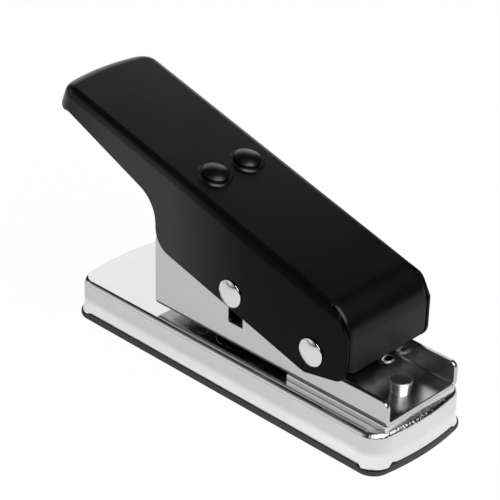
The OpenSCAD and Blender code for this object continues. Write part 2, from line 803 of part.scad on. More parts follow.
// Block on the punch that takes the drive pin in a slot, so that the pin may sway
module punch_holder() color(STEEL)
    difference() {
        translate([run_x - holder_l / 2, -holder_w / 2, holder_low])
            cube([holder_l, holder_w, holder_high - holder_low]);
        slot_h = drive_d + 2 * holder_slot_clear;
        slot_run = drive_sway / 2 + 2 * holder_slot_clear;
        for (x = [-slot_run, slot_run])
            cross_bar(run_x + x, drive_z, slot_h, holder_w + 2);
        translate([run_x - slot_run, -holder_w / 2 - 1, drive_z - slot_h / 2])
            cube([2 * slot_run, holder_w + 2, slot_h]);
        for (x = [-screw_x, screw_x])
            translate([run_x + x, 0, holder_low - PAST]) {
                cylinder(h = holder_high - holder_low + 2 * PAST, d = screw_d, $fn = ROUND);
                translate([0, 0, holder_high - holder_low - screw_head_h + PAST])
                    cylinder(h = screw_head_h + PAST, d = screw_head_d + 2 * holder_slot_clear, $fn = ROUND);
            }
    }

// Cap screws that hold the punch to its holder
module punch_screws() color(STEEL)
    for (x = [-screw_x, screw_x])
        translate([run_x + x, 0, holder_low - screw_depth]) {
            cylinder(h = holder_high - holder_low + screw_depth - screw_head_h, d = screw_d, $fn = ROUND);
            translate([0, 0, holder_high - holder_low + screw_depth - screw_head_h])
                difference() {
                    cylinder(h = screw_head_h, d = screw_head_d, $fn = ROUND);
                    translate([0, 0, screw_head_h / 2])
                        cylinder(h = screw_head_h, d = screw_d, $fn = 6);
                }
        }

bottom_cover();
base_tray();
die_plate();
spacer_plate();
channel_frame();
punch_guide();
guide_rivets();
front_stud();
low_rivets();
pivot_pin();
pivot_sleeve();
pivot_washers();
lever_shell();
drive_pin();
drive_washers();
spring_rivets();
spring_clamp();
leaf_spring();
punch_block();
punch_holder();
punch_screws();
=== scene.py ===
import math

import bmesh
import bpy
from mathutils import Matrix, Vector
from mathutils.geometry import tessellate_polygon


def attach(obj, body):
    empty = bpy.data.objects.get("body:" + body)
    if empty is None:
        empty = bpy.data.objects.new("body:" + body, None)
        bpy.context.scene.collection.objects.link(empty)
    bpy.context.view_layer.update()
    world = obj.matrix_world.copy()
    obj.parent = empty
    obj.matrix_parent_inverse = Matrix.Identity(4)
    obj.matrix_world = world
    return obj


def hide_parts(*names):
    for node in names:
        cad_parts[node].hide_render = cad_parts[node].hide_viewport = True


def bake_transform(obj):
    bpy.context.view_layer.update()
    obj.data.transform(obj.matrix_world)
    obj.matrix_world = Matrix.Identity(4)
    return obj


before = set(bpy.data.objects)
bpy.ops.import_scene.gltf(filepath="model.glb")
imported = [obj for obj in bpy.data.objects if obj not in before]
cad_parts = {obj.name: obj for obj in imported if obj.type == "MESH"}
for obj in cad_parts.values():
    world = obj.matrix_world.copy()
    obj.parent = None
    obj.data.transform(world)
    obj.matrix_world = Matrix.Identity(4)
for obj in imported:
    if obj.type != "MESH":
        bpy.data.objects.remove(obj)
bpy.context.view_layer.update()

scene = bpy.context.scene
scene.view_settings.view_transform = "Standard"

# Sizes in millimetres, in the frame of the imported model: X to the front, Y across, Z up
MM = 0.001

# Base: the outline that tray and cover share, with enough points along its sides for the lip to dip
BASE_L, BASE_W, CORNER_R, BOW_R = 132.0, 42.0, 6.0, 90.0
SIDE_POINTS = 110

# Tray: its pressing, its flared foot and its hem
TRAY_TOP, TRAY_EDGE, TRAY_SHEET, TRAY_INSET, TRAY_CORNER, TRAY_MID = 13.6, 2.0, 1.2, 0.75, 7.4, 10.2
FOOT_Z, FOOT_TOP, FOOT_INSET, FOOT_EDGE = 3.0, 7.2, 0.14, 0.1
HEM_Z, HEM_EDGE = 1.3, 0.2

# Cover: its lip, and the dips in it, measured slantwise past each corner
LIP_H, LIP_T, COVER_FLOOR = 2.6, 0.6, 1.2
DIP_Z, DIP_FROM, DIP_TO, DIP_FADE = 1.6, -3.2, 4.8, 1.6

# Pick-shaped hole in the tray
PICK_X, PICK_L, PICK_W, PICK_GAP = 3.2535, 30.0, 26.0, 0.4
PICK_SHOULDER_R, PICK_TIP_R, PICK_SIDE_R, PICK_END_R = 6.5, 3.2, 34.0, 30.0

# Channel floor, the underside of the die, and the stud and low rivets that pass through both
FLOOR_Z, DIE_Z = 17.2, 9.4
STUD_X, STUD_SHANK_R = 55.3, 2.5
LOW_X, LOW_Y, LOW_SHANK_R, LOW_HEAD_R = 40.2, 10.8, 2.0, 3.0
SHANK_GAP, CLOSED_H, CLOSED_OUT, CLOSED_IN = 0.05, 1.2, 1.25, 0.6

# Lever, in its own frame: u along it, v up, with the hinge pin at zero
PIVOT_X, PIVOT_Z, TILT = 36.3, 30.1, math.radians(15.35)
RISE, SKIRT, SHEET, LEVER_HALF, EDGE_R = 19.2, 8.5, 1.2, 18.5, 3.0

# The lever's tail: its bowed end and outward flare, and the step of its lower edge down to the lip
TAIL, FLARE, TAIL_H, TAIL_EDGE, TAIL_BOW, TAIL_CORNER = 118.2, 1.1, 8.6, 4.0, 85.0, 7.5
TAIL_LIP_U, TAIL_STEP_U, TAIL_STEP, TAIL_PAST, TAIL_FROM = 4.5, 7.0, 0.9, 3.0, -60.0

# The skirts' lower edge, and the cut of their front corners
BELLY_U, HEEL_U, NECK_U, NECK_DROP = -0.5, -64.8, -69.4, 13.6
TOE_R, BELLY_R, HEEL_R, NECK_R, TAIL_STEP_R, TAIL_LIP_R = 5.0, 3.0, 7.5, 11.0, 3.0, 2.0
TOE_DROP, CUT_DROP, CUT_BACK, SKIRT_STOP = 2.1, 7.0, 4.2, 0.3

# The flap: the corner where it would meet the top, its length from there, its bend and the slits beside it
FLAP_X, FLAP_L, FLAP_BEND, FLAP_HALF, FLAP_SLIT, FLAP_CORNER = 8.5, 19.0, 12.0, 16.9, 0.4, 2.5
SLIT_U, EDGE_FADE = 1.0, 0.8

# The lever's holes
PIVOT_HOLE_R, DRIVE_HOLE_R, RIVET_HOLE_R = 3.05, 2.5, 2.0
DRIVE_U, DRIVE_V, RIVET_U, RIVET_Y = -33.1, -3.4, -58.4, 6.8

# Pins, and the leaf spring: a path of (u, v, bend radius) in the lever's frame
PIVOT_R, DRIVE_R, PIN_HEAD_R, PIN_HEAD_H, PIN_RIM_H, PIVOT_GAP = 3.0, 2.5, 4.5, 1.5, 0.36, 0.1
LEAF_W, LEAF_T, LEAF_CHAMFER, LEAF_STEP = 21.6, 0.8, 2.0, 1.5
LEAF_PATH = [(-51.4, 17.6, 0), (-69.4, 17.6, 5), (-60.4, -9.85, 14), (-54.62, -27.85, 2.5),
             (-50.62, -24.45, 0)]

# Widths of the broken edges
LEVER_BREAK, LEAF_BREAK, CHANNEL_BREAK, SPACER_BREAK = 0.18, 0.12, 0.35, 0.3


# Outlines

def ease(t):
    return t * t * (3 - 2 * t)


def quarter(i, n):
    """Step i of n of a fillet: the share of its radius run inwards, and the share yet to rise."""
    t = math.pi / 2 * i / n
    return 1 - math.cos(t), 1 - math.sin(t)


def corner_arc(a, b, c, r, steps):
    """Points of an arc of radius r that rounds the corner b between a and c."""
    a, b, c = Vector(a), Vector(b), Vector(c)
    u, v = (a - b).normalized(), (c - b).normalized()
    half = math.acos(max(-1.0, min(1.0, u.dot(v)))) / 2
    m = b + (u + v).normalized() * (r / math.sin(half))
    p = b + u * (r / math.tan(half))
    start = math.atan2(p.y - m.y, p.x - m.x)
    turn = u.x * v.y - u.y * v.x
    sweep = (math.pi - 2 * half) * (1 if turn > 0 else -1)
    angles = [start - sweep * i / steps for i in range(steps + 1)]
    return [(m.x + r * math.cos(t), m.y + r * math.sin(t)) for t in angles]


def base_outline(inset, corner, bow_n=40, corner_n=20):
    """The base's outline from above, moved inwards: straight sides, bowed ends, round corners."""
    r, bow = corner - inset, BOW_R - inset
    bow_x = BASE_L / 2 - BOW_R
    corner_y = BASE_W / 2 - corner
    corner_x = bow_x + math.sqrt((bow - r) ** 2 - corner_y ** 2)
    touch = math.atan2(corner_y, corner_x - bow_x)
    half = []
    for i in range(-bow_n // 2, bow_n // 2 + 1):
        t = touch * i / (bow_n // 2)
        half.append((bow_x + bow * math.cos(t), bow * math.sin(t)))
    for i in range(1, corner_n + 1):
        t = touch + (math.pi / 2 - touch) * i / corner_n
        half.append((corner_x + r * math.cos(t), corner_y + r * math.sin(t)))
    for i in range(1, SIDE_POINTS):
        half.append((corner_x - 2 * corner_x * i / SIDE_POINTS, corner_y + r))
    for i in range(corner_n):
        t = math.pi / 2 + (math.pi / 2 - touch) * i / corner_n
        half.append((-corner_x + r * math.cos(t), corner_y + r * math.sin(t)))
    return half + [(-x, -y) for x, y in half]


def pick_outline(grow, steps=16):
    """A pick of six arcs, tip to the front: tip, side, shoulder, end, shoulder, side."""
    tip = Vector((PICK_L / 2 - PICK_TIP_R, 0))
    end_m, end_gap = Vector((PICK_END_R - PICK_L / 2, 0)), PICK_END_R - PICK_SHOULDER_R
    sy = PICK_W / 2 - PICK_SHOULDER_R
    shoulder = Vector((end_m.x - math.sqrt(end_gap ** 2 - sy ** 2), sy))
    a, b = PICK_SIDE_R - PICK_SHOULDER_R, PICK_SIDE_R - PICK_TIP_R
    span = (tip - shoulder).length
    along = (tip - shoulder) / span
    s = (a * a - b * b + span * span) / (2 * span)
    side_m = shoulder + along * s + math.sqrt(a * a - s * s) * Vector((along.y, -along.x))
    tip_t = math.atan2((tip - side_m).y, (tip - side_m).x)
    side_t = math.atan2((shoulder - side_m).y, (shoulder - side_m).x)
    end_t = math.pi - math.asin(sy / end_gap)
    full = 2 * math.pi
    arcs = [(tip, PICK_TIP_R, -tip_t, tip_t), (side_m, PICK_SIDE_R, tip_t, side_t),
            (shoulder, PICK_SHOULDER_R, side_t, end_t), (end_m, PICK_END_R, end_t, full - end_t),
            (Vector((shoulder.x, -sy)), PICK_SHOULDER_R, full - end_t, full - side_t),
            (Vector((side_m.x, -side_m.y)), PICK_SIDE_R, full - side_t, full - tip_t)]
    points = []
    for m, r, t0, t1 in arcs:
        for i in range(steps):
            t = t0 + (t1 - t0) * i / steps
            points.append((PICK_X + m.x + (r + grow) * math.cos(t), m.y + (r + grow) * math.sin(t)))
    return points


def ring(x, y, r, n=48):
    """Points of a circle about x, y."""
    angles = [2 * math.pi * i / n for i in range(n)]
    return [(x + r * math.cos(t), y + r * math.sin(t)) for t in angles]


def from_above(point):
    return point[:2]


def from_side(point):
    return point[0], point[2]


# Meshes: welds in metres; angles in degrees within which faces lie in one plane, over which an edge is
# broken, and over which it is shaded sharp: by default, on thickened sheet and on turned pieces
WELD, SOLID_WELD = 1e-7, 1e-6
FLAT, SOLID_FLAT = 0.05, 0.5
SHEET_CORNER, SOLID_CORNER = 50.0, 40.0
SHARP, SHEET_SHARP, TURNED_SHARP = 35.0, 40.0, 50.0


class Shape:
    """Vertices in millimetres and faces, gathered before they become a piece."""

    def __init__(self):
        self.verts = []
        self.faces = []

    def loop(self, points):
        start = len(self.verts)
        self.verts += [tuple(p) for p in points]
        return list(range(start, start + len(points)))

    def bridge(self, a, b, closed=True):
        n = len(a)
        for i in range(n if closed else n - 1):
            j = (i + 1) % n
            self.faces.append((a[i], a[j], b[j], b[i]))

    def loft(self, rows, closed=True):
        for a, b in zip(rows, rows[1:]):
            self.bridge(a, b, closed)

    def cap(self, loops, flat):
        """Fills flat loops, the first outside and the rest holes; flat gives a vertex's place in 2-D."""
        order = [i for lp in loops for i in lp]
        tris = tessellate_polygon([[Vector((*flat(self.verts[i]), 0)) for i in lp] for lp in loops])
        for t in tris:
            self.faces.append(tuple(order[i] for i in t))

    def lathe(self, profile, n):
        """A solid of revolution round Z from (r, z) points that begin and end on the axis."""
        rings = []
        for r, z in profile:
            points = ring(0, 0, r, n) if r else [(0, 0)]
            rings.append(self.loop([(x, y, z) for x, y in points]))
        for a, b in zip(rings, rings[1:]):
            for i in range(n):
                j = (i + 1) % n
                if len(a) == 1:
                    self.faces.append((a[0], b[j], b[i]))
                elif len(b) == 1:
                    self.faces.append((a[i], a[j], b[0]))
                else:
                    self.faces.append((a[i], a[j], b[j], b[i]))

    def move(self, matrix):
        self.verts = [tuple(matrix @ Vector(v)) for v in self.verts]
        return self

    def add(self, other):
        k = len(self.verts)
        self.verts += other.verts
        self.faces += [tuple(i + k for i in f) for f in other.faces]


def placed(name, data):
    """A new object in the scene."""
    obj = bpy.data.objects.new(name, data)
    scene.collection.objects.link(obj)
    return obj


def skin(name, shape, material, sharp, join_flat=True):
    """An object of a shape, smooth up to the sharp angle; join_flat merges faces in one plane."""
    mesh = bpy.data.meshes.new(name)
    mesh.from_pydata([(x * MM, y * MM, z * MM) for x, y, z in shape.verts], [], shape.faces)
    bm = bmesh.new()
    bm.from_mesh(mesh)
    bmesh.ops.remove_doubles(bm, verts=bm.verts, dist=WELD)
    bmesh.ops.dissolve_degenerate(bm, dist=WELD, edges=bm.edges)
    bmesh.ops.recalc_face_normals(bm, faces=bm.faces)
    if join_flat:
        bmesh.ops.dissolve_limit(bm, angle_limit=math.radians(FLAT), verts=bm.verts, edges=bm.edges)
    bm.to_mesh(mesh)
    bm.free()
    mesh.materials.append(material)
    mesh.shade_smooth()
    mesh.set_sharp_from_angle(angle=math.radians(sharp))
    return placed(name, mesh)


def apply_modifiers(obj):
    graph = bpy.context.evaluated_depsgraph_get()
    mesh = bpy.data.meshes.new_from_object(obj.evaluated_get(graph))
    obj.modifiers.clear()
    obj.data = mesh


def break_edges(obj, width, angle):
    """Bevels every edge sharper than the angle, as a plain mesh."""
    soft = obj.modifiers.new("edges", "BEVEL")
    soft.width, soft.segments, soft.limit_method = width * MM, 2, "ANGLE"
    soft.angle_limit, soft.use_clamp_overlap = math.radians(angle), False
    apply_modifiers(obj)


def thicken(obj, sheet, edge, side=-1.0):
    """Gives a skin its sheet thickness, inwards or about its middle (side 0), and breaks its edges."""
    shell = obj.modifiers.new("sheet", "SOLIDIFY")
    shell.thickness, shell.offset = sheet * MM, side
    break_edges(obj, edge, SHEET_CORNER)


def flat_faces(obj):
    """Keeps large faces flat in shade beside their broken edges."""
    normals = obj.modifiers.new("normals", "WEIGHTED_NORMAL")
    normals.keep_sharp = True
    normals.weight = 80


def dress(obj, body, replaced):
    """Makes an object a piece that rides on a body in place of the solids it replaces."""
    flat_faces(obj)
    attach(obj, body)
    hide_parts(*replaced)


def piece(name, shape, material, body, replaced, sharp=SHARP):
    """A shape that is complete as it stands, dressed as a piece."""
    dress(skin(name, shape, material, sharp), body, replaced)


def eased_copy(node, name, material, body, width):
    """A piece made of a solid's own faces, with their edges broken."""
    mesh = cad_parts[node].data.copy()
    mesh.name = name
    bm = bmesh.new()
    bm.from_mesh(mesh)
    bmesh.ops.remove_doubles(bm, verts=bm.verts, dist=SOLID_WELD)
    bmesh.ops.dissolve_degenerate(bm, dist=SOLID_WELD, edges=bm.edges)
    bmesh.ops.dissolve_limit(bm, angle_limit=math.radians(SOLID_FLAT), verts=bm.verts, edges=bm.edges)
    for face in bm.faces:
        face.smooth = True
        face.material_index = 0
    bm.to_mesh(mesh)
    bm.free()
    if "custom_normal" in mesh.attributes:
        mesh.attributes.remove(mesh.attributes["custom_normal"])
    mesh.materials.clear()
    mesh.materials.append(material)
    obj = placed(name, mesh)
    break_edges(obj, width, SOLID_CORNER)
    dress(obj, body, [node])


# Materials: noise scales are per metre, bump depths in metres

class Nodes:
    """The node tree of a material or of the world, with short ways to add what is used here."""

    def __init__(self, owner, output="ShaderNodeOutputMaterial"):
        owner.use_nodes = True
        self.tree = owner.node_tree
        self.tree.nodes.clear()
        self.surface = self.add(output).inputs["Surface"]

    def add(self, kind):
        return self.tree.nodes.new(kind)

    def link(self, a, b):
        self.tree.links.new(a, b)

    def give(self, socket, value):
        if isinstance(value, (int, float)):
            socket.default_value = value
        elif isinstance(value, tuple):
            socket.default_value = (*value, 1.0)
        else:
            self.link(value, socket)

    def place(self, kind):
        return self.add("ShaderNodeTexCoord").outputs[kind]

    def axes(self, vector):
        node = self.add("ShaderNodeSeparateXYZ")
        self.link(vector, node.inputs["Vector"])
        return node.outputs

    def math(self, kind, a, b=0.0):
        node = self.add("ShaderNodeMath")
        node.operation = kind
        self.give(node.inputs[0], a)
        self.give(node.inputs[1], b)
        return node.outputs["Value"]

    def span(self, value, low, high, source=(0.3, 0.7)):
        """Maps the source range, by default a noise's usual one, to low and high."""
        node = self.add("ShaderNodeMapRange")
        names = ("Value", "From Min", "From Max", "To Min", "To Max")
        for name, given in zip(names, (value, *source, low, high)):
            self.give(node.inputs[name], given)
        return node.outputs["Result"]

    def ramp(self, value, stops, easing="LINEAR"):
        """A ramp through (position, grey) or (position, colour) stops."""
        node = self.add("ShaderNodeValToRGB")
        node.color_ramp.interpolation = easing
        while len(node.color_ramp.elements) < len(stops):
            node.color_ramp.elements.new(0.5)
        for element, (at, colour) in zip(node.color_ramp.elements, stops):
            element.position = at
            element.color = (*(colour if isinstance(colour, tuple) else (colour,) * 3), 1.0)
        self.link(value, node.inputs["Fac"])
        return node.outputs["Color"]

    def blend(self, fac, a, b):
        node = self.add("ShaderNodeMix")
        node.data_type = "RGBA"
        self.link(fac, node.inputs["Factor"])
        for name, value in (("A", a), ("B", b)):
            self.give([s for s in node.inputs if s.name == name and s.type == "RGBA"][0], value)
        return [s for s in node.outputs if s.type == "RGBA"][0]

    def tint(self, a, b):
        node = self.add("ShaderNodeVectorMath")
        node.operation = "MULTIPLY"
        self.link(a, node.inputs[0])
        self.link(b, node.inputs[1])
        return node.outputs["Vector"]


class Finish(Nodes):
    """A surface finish: a Principled shader with noise and bump over the piece's own coordinates."""

    def __init__(self, name, metallic):
        self.material = bpy.data.materials.new(name)
        super().__init__(self.material)
        self.bsdf = self.add("ShaderNodeBsdfPrincipled")
        self.bsdf.inputs["Metallic"].default_value = metallic
        self.link(self.bsdf.outputs["BSDF"], self.surface)
        self.here = self.place("Object")

    def stretched(self, scale):
        node = self.add("ShaderNodeMapping")
        node.inputs["Scale"].default_value = scale
        self.link(self.here, node.inputs["Vector"])
        return node.outputs["Vector"]

    def noise(self, scale, detail=4.0, rough=0.55, vector=None):
        node = self.add("ShaderNodeTexNoise")
        node.inputs["Scale"].default_value = scale
        node.inputs["Detail"].default_value = detail
        node.inputs["Roughness"].default_value = rough
        self.link(vector or self.here, node.inputs["Vector"])
        return node.outputs["Fac"]

    def cells(self, scale):
        node = self.add("ShaderNodeTexVoronoi")
        node.inputs["Scale"].default_value = scale
        self.link(self.here, node.inputs["Vector"])
        return node.outputs

    def mixed(self, a, b):
        """Three parts of one pattern with two of another."""
        return self.math("ADD", self.math("MULTIPLY", a, 0.6), self.math("MULTIPLY", b, 0.4))

    def bump(self, height, depth, after=None):
        node = self.add("ShaderNodeBump")
        node.inputs["Distance"].default_value = depth
        node.inputs["Strength"].default_value = 1.0
        self.link(height, node.inputs["Height"])
        if after is not None:
            self.link(after, node.inputs["Normal"])
        return node.outputs["Normal"]

    def finish(self, colour, rough, normal, shine=None):
        for value, name in ((colour, "Base Color"), (rough, "Roughness"), (normal, "Normal"),
                            (shine, "Specular IOR Level")):
            if value is not None:
                self.give(self.bsdf.inputs[name], value)
        return self.material


# The tray's plating: shares of its tone by height in millimetres, on the sides and on the ends, which paint
# a reflection onto them, brightest low down and on the sides dimmer in the middle; then, in metres, where
# the sides begin, and where and how deep the front's top edge is worn
SIDE_PAINTED_REFLECTION = [(5.8, 1.25), (7.8, 0.93), (11.6, 0.93), (13.2, 1.0)]
END_PAINTED_REFLECTION = [(5.2, 1.18), (7.2, 1.08), (11.6, 1.08), (13.2, 1.0)]
SIDE_FROM = (0.0130, 0.0195)
WORN_X, WORN_Z, WORN_DEPTH = (0.0575, 0.0600), (0.0116, 0.0126), 0.00016


def chrome(name, tone, rough, wave, drawn=0.0, tray=False):
    """Plating over pressed sheet: wave is the sheet's unevenness, drawn the depth of lines along it."""
    m = Finish(name, 1.0)
    haze = m.noise(140.0, detail=5.0)
    colour = m.ramp(haze, [(0.3, (tone * 0.96, tone * 0.965, tone * 0.97)), (0.7, tone)])
    if tray:
        # Painted reflection: bands of brighter and darker tone by height on the tray's sides and ends
        x, y, z = m.axes(m.here)
        height = m.span(z, 0.0, 1.0, (0.0, TRAY_TOP * MM))
        sides, ends = [m.ramp(height, [(at / TRAY_TOP, share) for at, share in bands])
                       for bands in (SIDE_PAINTED_REFLECTION, END_PAINTED_REFLECTION)]
        on_side = m.span(m.math("ABSOLUTE", y), 0.0, 1.0, SIDE_FROM)
        colour = m.tint(colour, m.blend(on_side, ends, sides))
    smear = m.noise(520.0, vector=m.stretched((1.0, 1.0, 3.0)))
    roughness = m.span(m.mixed(haze, smear), *rough)
    normal = m.bump(m.noise(75.0, detail=2.0), wave)
    if drawn:
        lines = m.noise(1.0, detail=3.0, rough=0.5, vector=m.stretched((14.0, 120.0, 420.0)))
        normal = m.bump(lines, drawn, normal)
    if tray:
        rubbed = m.math("MULTIPLY", m.span(x, 0.0, 1.0, WORN_X), m.span(z, 0.0, 1.0, WORN_Z))
        normal = m.bump(m.math("MULTIPLY", m.noise(1500.0, detail=3.0), rubbed), WORN_DEPTH, normal)
    grain = m.bump(m.noise(2600.0, detail=3.0), 0.0000006, normal)
    return m.finish(colour, roughness, grain)


# The lever's paint: its shine; shares of it by x in millimetres, along the walls, which paint a reflection
# onto them, bright towards the rear and dim in front, and over the top and flap, which paint shade onto the
# flap; the range of x that they cover;
# and, in metres from the middle, where the walls begin
GLOSS = 0.46
WALL_PAINTED_REFLECTION = [(-70.0, 0.4), (-54.0, 0.8), (-38.0, 1.40), (-26.0, 1.26), (-12.0, 0.55), (4.0, 0.17),
              (20.0, 0.14)]
FLAP_PAINTED_SHADE = [(47.5, 1.0), (49.3, 0.30)]
PAINTED_REFLECTION_X, WALL_FROM = (-80.0, 70.0), (0.0155, 0.0184)


def black_paint(name):
    m = Finish(name, 0.0)
    x, y, _ = m.axes(m.here)
    # Painted reflection along the walls, bright towards the rear and dim in front, and painted shade on the
    # flap, set through the shine
    low, high = PAINTED_REFLECTION_X
    along = m.span(x, 0.0, 1.0, (low * MM, high * MM))
    wall, flap = [m.ramp(along, [((at - low) / (high - low), share) for at, share in stops], "B_SPLINE")
                  for stops in (WALL_PAINTED_REFLECTION, FLAP_PAINTED_SHADE)]
    on_wall = m.span(m.math("ABSOLUTE", y), 0.0, 1.0, WALL_FROM)
    shine_and_painted_reflection = m.math("MULTIPLY", m.blend(on_wall, flap, wall), GLOSS)
    cloud = m.noise(55.0)
    colour = m.ramp(cloud, [(0.35, (0.0008, 0.0008, 0.0009)), (0.65, (0.0014, 0.0014, 0.0015))])
    specks = m.cells(330.0)
    dust = m.span(specks["Distance"], 1.0, 0.0, (0.05, 0.09))
    rare = m.math("GREATER_THAN", specks["Color"], 0.9)
    colour = m.blend(m.math("MULTIPLY", dust, rare), colour, (0.02, 0.02, 0.02))
    roughness = m.span(m.noise(90.0, detail=2.0), 0.285, 0.315)
    peel = m.bump(m.noise(700.0, detail=2.0, rough=0.4), 0.000003)
    return m.finish(colour, roughness, peel, shine_and_painted_reflection)


def cover_plastic(name):
    m = Finish(name, 0.0)
    mottle = m.noise(300.0, detail=5.0)
    colour = m.ramp(mottle, [(0.3, (0.030, 0.030, 0.031)), (0.7, (0.044, 0.044, 0.045))])
    grain = m.bump(m.noise(3800.0, detail=3.0), 0.00002)
    return m.finish(colour, m.span(mottle, 0.48, 0.62), grain, 0.45)


def steel(name, tone, along, rough):
    """Bare steel with grinding lines; along stretches them by axis."""
    m = Finish(name, 1.0)
    lines = m.noise(1.0, detail=5.0, rough=0.6, vector=m.stretched(along))
    dark, light = (tone * 0.82, tone * 0.81, tone * 0.79), (tone, tone * 0.99, tone * 0.98)
    colour = m.ramp(m.mixed(lines, m.noise(110.0)), [(0.3, dark), (0.7, light)])
    return m.finish(colour, m.span(lines, *rough), m.bump(lines, 0.000006))


CHROME_TRAY = chrome("chrome_tray", tone=0.76, rough=(0.06, 0.13), wave=0.000008, drawn=0.00002, tray=True)
CHROME = chrome("chrome_sheet", tone=0.62, rough=(0.18, 0.28), wave=0.000006)
CHROME_PIN = chrome("chrome_pin", tone=0.80, rough=(0.05, 0.10), wave=0.000003)
CHROME_STUD = chrome("chrome_stud", tone=0.78, rough=(0.24, 0.38), wave=0.000004, drawn=0.00005)
BLACK = black_paint("lever_paint")
COVER = cover_plastic("cover_moulding")
STEEL = steel("ground_steel", tone=0.52, along=(40.0, 900.0, 900.0), rough=(0.22, 0.36))
TOOL = steel("tool_steel", tone=0.46, along=(700.0, 700.0, 30.0), rough=(0.18, 0.30))
SPRING = steel("spring_steel_strip", tone=0.30, along=(900.0, 60.0, 900.0), rough=(0.28, 0.42))

for material, nodes in (
    (COVER, ["bottom_cover"]),
    (CHROME_TRAY, ["base_tray"]),
    (CHROME, ["spacer_plate", "channel_frame"]),
    (CHROME_STUD, ["front_stud", "low_rivets"]),
    (CHROME_PIN, ["pivot_pin", "drive_pin"]),
    (BLACK, ["lever_shell", "spring_rivets"]),
    (TOOL, ["die_plate", "punch_guide", "punch_block", "punch_holder"]),
    (STEEL, ["guide_rivets", "pivot_sleeve", "pivot_washers", "drive_washers", "spring_clamp",
             "punch_screws"]),
    (SPRING, ["leaf_spring"]),
):
    for node in nodes:
        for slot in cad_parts[node].material_slots:
            slot.material = material


# Tray: a pressed shell with a rounded top edge, the pick's hole and a flared foot that follows the lip

def lip_top(x, y):
    """Height of the cover's lip, which dips round each corner."""
    across = (abs(y) - BASE_W / 2 - abs(x) + BASE_L / 2) / math.sqrt(2)
    past = max(DIP_FROM - across, across - DIP_TO, 0.0) / DIP_FADE
    if abs(x) < BASE_L / 2 - 3 * CORNER_R or abs(y) < BASE_W / 2 - 2 * CORNER_R or past >= 1:
        return LIP_H
    return DIP_Z + (LIP_H - DIP_Z) * ease(past)


def tray_outside():
    """Inset and height of the tray's outer face, from under the foot to the top."""
    foot_low = FOOT_Z + FOOT_EDGE
    profile = [(TRAY_INSET - 0.01, foot_low), (FOOT_INSET + 2 * FOOT_EDGE, FOOT_Z),
               (FOOT_INSET + 0.04, FOOT_Z + 0.02), (FOOT_INSET, foot_low)]
    for i in range(1, 13):
        t = i / 12
        inset = TRAY_INSET - (TRAY_INSET - FOOT_INSET) * (1 - t) ** 3
        profile.append((inset, foot_low + (FOOT_TOP - foot_low) * t))
    profile.append((TRAY_INSET, TRAY_MID))
    for i in range(13):
        run, rest = quarter(i, 12)
        profile.append((TRAY_INSET + TRAY_EDGE * run, TRAY_TOP - TRAY_EDGE * rest))
    return profile


def tray_inside():
    """Inset and height of the hem below the foot and of the inner face, up to the top's underside."""
    inset, top, edge = TRAY_INSET + TRAY_SHEET, TRAY_TOP - TRAY_SHEET, TRAY_EDGE - TRAY_SHEET
    profile = [(TRAY_INSET, HEM_Z + HEM_EDGE), (TRAY_INSET + HEM_EDGE, HEM_Z), (inset - HEM_EDGE, HEM_Z),
               (inset, HEM_Z + HEM_EDGE)]
    for i in range(7):
        run, rest = quarter(i, 6)
        profile.append((inset + edge * run, top - edge * rest))
    return profile


def make_tray():
    s = Shape()

    def around(inset, z):
        share = max(0.0, min(1.0, (FOOT_TOP - z) / (FOOT_TOP - FOOT_Z)))
        outline = base_outline(inset, TRAY_CORNER)
        return s.loop([(x, y, z - share * (LIP_H - lip_top(x, y))) for x, y in outline])

    outside = [around(inset, z) for inset, z in tray_outside()]
    s.loft(outside)
    inside = [outside[0], around(TRAY_INSET, FOOT_Z)]
    for inset, z in tray_inside():
        inside.append(s.loop([(x, y, z) for x, y in base_outline(inset, TRAY_CORNER)]))
    for a, b in zip(inside, inside[1:]):
        s.bridge(b, a)
    tops, bottoms = [outside[-1]], [inside[-1]]
    holes = [pick_outline(PICK_GAP), ring(STUD_X, 0, STUD_SHANK_R + SHANK_GAP)]
    holes += [ring(LOW_X, y, LOW_SHANK_R + SHANK_GAP) for y in (LOW_Y, -LOW_Y)]
    for hole in holes:
        top = s.loop([(x, y, TRAY_TOP) for x, y in hole])
        bottom = s.loop([(x, y, TRAY_TOP - TRAY_SHEET) for x, y in hole])
        s.bridge(bottom, top)
        tops.append(top)
        bottoms.append(bottom)
    s.cap(tops, from_above)
    s.cap(bottoms, from_above)
    return s


piece("tray_pressing", make_tray(), CHROME_TRAY, "base_frame", ["base_tray"])


# Bottom cover: a moulded pan whose lip dips at each corner

def make_cover():
    """Rings of (inset, height), where the lip's own heights count from its top."""
    s = Shape()
    low = [(0.7, 0.0), (0.3, 0.1), (0.1, 0.3), (0.0, 0.7)]
    lip = [(0.0, -0.16), (0.05, -0.05), (0.16, 0.0), (LIP_T - 0.12, 0.0), (LIP_T - 0.03, -0.04),
           (LIP_T, -0.14)]
    floor = [(LIP_T, COVER_FLOOR + 0.1), (LIP_T + 0.1, COVER_FLOOR)]
    rings = []
    for profile, on_lip in ((low, 0.0), (lip, 1.0), (floor, 0.0)):
        for inset, z in profile:
            outline = base_outline(inset, CORNER_R)
            rings.append(s.loop([(x, y, z + on_lip * lip_top(x, y)) for x, y in outline]))
    s.loft(rings)
    s.cap([rings[0]], from_above)
    s.cap([rings[-1]], from_above)
    return s


piece("cover_pan", make_cover(), COVER, "bottom_cover", ["bottom_cover"])


# Lever: one pressed sheet with a bowed, flared tail, rounded long edges and a flap bent down in front

